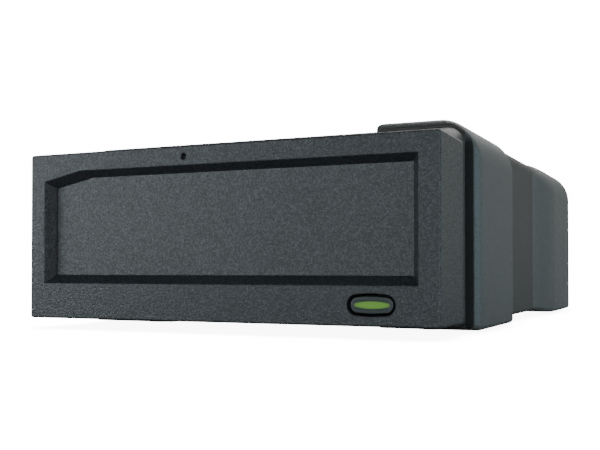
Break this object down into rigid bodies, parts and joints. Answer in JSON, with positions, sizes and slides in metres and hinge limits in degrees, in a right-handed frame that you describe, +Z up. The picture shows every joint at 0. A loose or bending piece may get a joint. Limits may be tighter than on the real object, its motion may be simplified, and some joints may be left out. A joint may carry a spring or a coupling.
{
  "type": "external removable disk drive",
  "caption": "Front-loading dock for a removable disk cartridge: bezel with sprung door and eject button, housing with raised corner guards, chassis, motor eject gears and fan.",
  "frame": {"origin": "middle of the footprint, on the surface that the rubber feet stand on", "axes": "+X right as seen from the front, -Y out of the front, +Z up"},
  "size_m": [0.11, 0.175, 0.0505],
  "materials": {
    "shell": "fine moulded texture, charcoal",
    "bezel": "fine leather-like moulded texture",
    "door": "fine moulded texture",
    "button": "smooth",
    "lens": "light pipe, lit green",
    "rubber": "moulded rubber",
    "steel": "zinc plated sheet",
    "spring_steel": "drawn wire",
    "guide": "slippery moulded plastic",
    "board": "solder mask",
    "chip": "moulded epoxy",
    "sink": "extruded",
    "socket": "tin plated",
    "connector": "moulded",
    "gear": "natural acetal",
    "brass": "turned",
    "fan": "moulded"
  },
  "bodies": {
    "dock": {"housing_cover": "shell", "base_plate": "shell", "rear_panel": "shell", "front_bezel": "bezel", "rubber_feet": "rubber", "door_pins": "steel", "door_spring": "spring_steel", "button_spring": "spring_steel", "button_board": "board", "tact_switch": "socket", "status_led": "lens", "chassis_tray": "steel", "chassis_lid": "steel", "guide_left": "guide", "guide_right": "guide", "main_board": "board", "board_chips": "chip", "heat_sink": "sink", "backplane": "board", "docking_connector": "connector", "usb_socket": "socket", "dc_jack": "connector", "fan_frame": "fan", "fan_bush": "brass", "gear_studs": "steel", "eject_motor": "steel", "rod_spring": "spring_steel", "latch_pivot": "steel", "latch_spring": "spring_steel", "base_screws": "steel", "board_screws": "steel"},
    "door": {"door_flap": "door"},
    "button": {"eject_button": "button", "button_lens": "lens"},
    "slider": {"eject_slider": "gear"},
    "output": {"output_gear": "gear"},
    "idler": {"reduction_gear": "gear"},
    "pinion": {"motor_pinion": "brass"},
    "rotor": {"fan_rotor": "fan"},
    "release": {"release_rod": "steel"},
    "latch": {"latch_lever": "steel"}
  },
  "joints": [
    {"name": "door_swing", "type": "hinge", "parent": "dock", "child": "door", "pos_m": [0, -0.08285, 0.0399], "axis": [1, 0, 0], "range_deg": [0, 88], "stiffness_Nm_per_rad": 0.003, "springref_deg": -17.19, "deforming": ["door_spring"]},
    {"name": "button_press", "type": "slide", "parent": "dock", "child": "button", "axis": [0, 1, 0], "range_m": [0, 0.0012], "stiffness_N_per_m": 400, "springref_m": -0.001, "deforming": ["button_spring"]},
    {"name": "eject_slide", "type": "slide", "parent": "dock", "child": "slider", "axis": [0, -1, 0], "range_m": [0, 0.018]},
    {"name": "output_spin", "type": "hinge", "parent": "dock", "child": "output", "pos_m": [-0.029, 0.032, 0.0098], "axis": [0, 0, -1], "range_deg": [0, 346]},
    {"name": "idler_spin", "type": "hinge", "parent": "dock", "child": "idler", "pos_m": [-0.035, 0.04239, 0.0098], "axis": [0, 0, 1], "range_deg": [0, 690]},
    {"name": "motor_spin", "type": "hinge", "parent": "dock", "child": "pinion", "pos_m": [-0.03413, 0.05235, 0.0104], "axis": [0, 0, -1], "range_deg": [0, 1606]},
    {"name": "fan_spin", "type": "hinge", "parent": "dock", "child": "rotor", "pos_m": [0.025, 0.0792, 0.025], "axis": [0, 1, 0], "continuous": true},
    {"name": "release_push", "type": "slide", "parent": "dock", "child": "release", "axis": [0, 1, 0], "range_m": [0, 0.004], "stiffness_N_per_m": 150, "springref_m": -0.002, "deforming": ["rod_spring"]},
    {"name": "latch_turn", "type": "hinge", "parent": "dock", "child": "latch", "pos_m": [0.004, -0.027, 0.0406], "axis": [0, 0, -1], "range_deg": [0, 19.6], "deforming": ["latch_spring"]}
  ],
  "couplings": [
    {"joint": "output_spin", "follows": "eject_slide", "rad_per_m": 333.33},
    {"joint": "idler_spin", "follows": "eject_slide", "rad_per_m": 666.67},
    {"joint": "motor_spin", "follows": "eject_slide", "rad_per_m": 1555.6},
    {"joint": "latch_turn", "follows": "release_push", "rad_per_m": 85}
  ]
}
